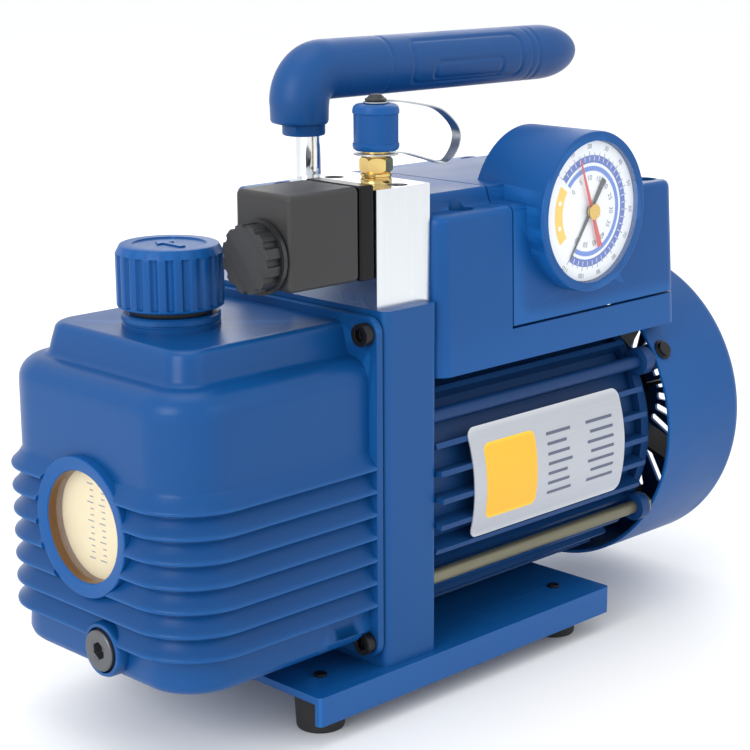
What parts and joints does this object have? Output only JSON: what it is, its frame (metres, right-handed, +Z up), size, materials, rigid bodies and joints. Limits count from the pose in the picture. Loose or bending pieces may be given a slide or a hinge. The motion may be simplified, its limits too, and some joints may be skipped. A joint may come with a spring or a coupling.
{
  "type": "rotary vane vacuum pump",
  "caption": "Portable rotary vane vacuum pump with finned oil tank, sight glass, vacuum gauge, solenoid inlet valve and carry handle.",
  "frame": {"origin": "on the floor, midway between the drain plug's face and the fan cover's rear, on the shaft's plane", "axes": "+X along the shaft towards the fan, +Z up; the gauge and inlet side is at -Y"},
  "size_m": [0.3174, 0.135, 0.2535],
  "materials": {
    "blue_paint": "satin blue enamel on castings",
    "blue_plastic": "satin blue moulded plastic",
    "blue_steel": "satin blue powder coat",
    "blue_grip": "satin blue moulded grip",
    "black_rubber": "matte",
    "black_screw": "black oxide",
    "black_plastic": "fine texture",
    "coil_plastic": "dark grey encapsulated coil",
    "valve_black": "glossy black",
    "bright_aluminium": "fine machined",
    "cast_grey": "machined",
    "steel": "ground",
    "chrome": "polished",
    "brass": "turned",
    "copper": "enamelled copper wire",
    "glass": "clear",
    "dial_white": "printed dial",
    "cream": "oil level plate",
    "label": "printed plate",
    "red": "painted pointer",
    "black_paint": "painted pointer",
    "gasket": "fibre gasket",
    "vane_carbon": "composite vane",
    "white_plastic": "capacitor can",
    "grey_plug": "zinc plated"
  },
  "bodies": {
    "frame": {"base_plate": "blue_steel", "rubber_feet": "black_rubber", "base_screws": "black_screw", "pump_bracket": "blue_paint", "tank_gasket": "gasket", "oil_tank": "blue_paint", "tank_screws": "black_screw", "sight_glass_ring": "blue_paint", "sight_glass": "glass", "oil_level_plate": "cream", "pump_cylinder": "cast_grey", "pump_end_plate": "cast_grey", "pump_screws": "black_screw", "exhaust_valve": "steel", "shaft_seal": "black_rubber", "shaft_bearings": "steel", "motor_housing": "blue_paint", "motor_end_shield": "blue_paint", "stator_core": "steel", "stator_windings": "copper", "tie_rods": "steel", "fan_cover": "blue_steel", "fan_cover_screws": "black_screw", "terminal_box": "blue_plastic", "box_cover": "blue_plastic", "box_screws": "black_screw", "run_capacitor": "white_plastic", "power_inlet": "black_plastic", "gauge_case": "steel", "gauge_dial": "dial_white", "gauge_lens": "glass", "inlet_block": "bright_aluminium", "inlet_block_screws": "black_screw", "inlet_fitting": "brass", "cap_strap": "steel", "valve_body": "valve_black", "solenoid_coil": "coil_plastic", "armature_tube": "steel", "plunger_spring": "steel", "handle_tube": "chrome", "handle_grip": "blue_grip", "rating_plate": "label"},
    "shaft": {"drive_shaft": "steel", "pump_rotor": "steel", "motor_rotor": "bright_aluminium", "cooling_fan": "black_plastic"},
    "vane_a": {"vane_a": "vane_carbon"},
    "vane_b": {"vane_b": "vane_carbon"},
    "switch": {"rocker_switch": "black_plastic"},
    "needle": {"gauge_needle": "black_paint"},
    "set_hand": {"set_needle": "red"},
    "plunger": {"valve_plunger": "steel"},
    "filler_seal": {"oil_cap_seal": "black_rubber"},
    "filler_cap": {"oil_cap": "blue_plastic"},
    "drain_seal": {"drain_washer": "gasket"},
    "drain_plug": {"drain_plug": "grey_plug"},
    "knob_washer": {"coil_washer": "steel"},
    "coil_knob": {"coil_knob": "black_plastic"},
    "cap_tether": {"cap_rivet": "black_screw"},
    "inlet_cap": {"inlet_cap": "blue_plastic"}
  },
  "joints": [
    {"name": "shaft_spin", "type": "hinge", "parent": "frame", "child": "shaft", "pos_m": [-0.0598, 0, 0.081], "axis": [1, 0, 0], "continuous": true},
    {"name": "vane_a_slide", "type": "slide", "parent": "shaft", "child": "vane_a", "axis": [0, 1, 0], "range_m": [0, 0.0028]},
    {"name": "vane_b_slide", "type": "slide", "parent": "shaft", "child": "vane_b", "axis": [0, -1, 0], "range_m": [0, 0.0028]},
    {"name": "switch_rock", "type": "hinge", "parent": "frame", "child": "switch", "pos_m": [0.1137, -0.003, 0.1705], "axis": [0, -1, 0], "range_deg": [0, 16]},
    {"name": "needle_turn", "type": "hinge", "parent": "frame", "child": "needle", "pos_m": [0.0498, -0.065, 0.1846], "axis": [0, -1, 0], "range_deg": [0, 260]},
    {"name": "set_needle_turn", "type": "hinge", "parent": "frame", "child": "set_hand", "pos_m": [0.0498, -0.066, 0.1846], "axis": [0, 1, 0], "range_deg": [-30, 230]},
    {"name": "plunger_lift", "type": "slide", "parent": "frame", "child": "plunger", "axis": [-1, 0, 0], "range_m": [0, 0.003], "stiffness_N_per_m": 200, "springref_m": -0.004, "deforming": ["plunger_spring"]},
    {"name": "filler_cap_lift", "type": "slide", "parent": "frame", "child": "filler_seal", "axis": [0, 0, 1], "range_m": [0, 0.0081]},
    {"name": "filler_cap_turn", "type": "hinge", "parent": "filler_seal", "child": "filler_cap", "pos_m": [-0.1117, 0, 0.159], "axis": [0, 0, 1], "range_deg": [0, 720]},
    {"name": "drain_plug_lift", "type": "slide", "parent": "frame", "child": "drain_seal", "axis": [-1, 0, 0], "range_m": [0, 0.0061]},
    {"name": "drain_plug_turn", "type": "hinge", "parent": "drain_seal", "child": "drain_plug", "pos_m": [-0.1558, -0.0112, 0.0423], "axis": [-1, 0, 0], "range_deg": [0, 1080]},
    {"name": "coil_knob_lift", "type": "slide", "parent": "frame", "child": "knob_washer", "axis": [-1, 0, 0], "range_m": [0, 0.0031]},
    {"name": "coil_knob_turn", "type": "hinge", "parent": "knob_washer", "child": "coil_knob", "pos_m": [-0.1038, -0.0402, 0.1827], "axis": [-1, 0, 0], "range_deg": [0, 720]},
    {"name": "inlet_cap_lift", "type": "slide", "parent": "frame", "child": "cap_tether", "axis": [0, 0, 1], "range_m": [0, 0.0061], "deforming": ["cap_strap"]},
    {"name": "inlet_cap_turn", "type": "hinge", "parent": "cap_tether", "child": "inlet_cap", "pos_m": [-0.0456, -0.0403, 0.22], "axis": [0, 0, 1], "range_deg": [0, 1080]}
  ],
  "couplings": [
    {"joint": "filler_cap_lift", "follows": "filler_cap_turn", "m_per_rad": 0.00063662},
    {"joint": "drain_plug_lift", "follows": "drain_plug_turn", "m_per_rad": 0.00031831},
    {"joint": "coil_knob_lift", "follows": "coil_knob_turn", "m_per_rad": 0.00023873},
    {"joint": "inlet_cap_lift", "follows": "inlet_cap_turn", "m_per_rad": 0.00031831}
  ]
}
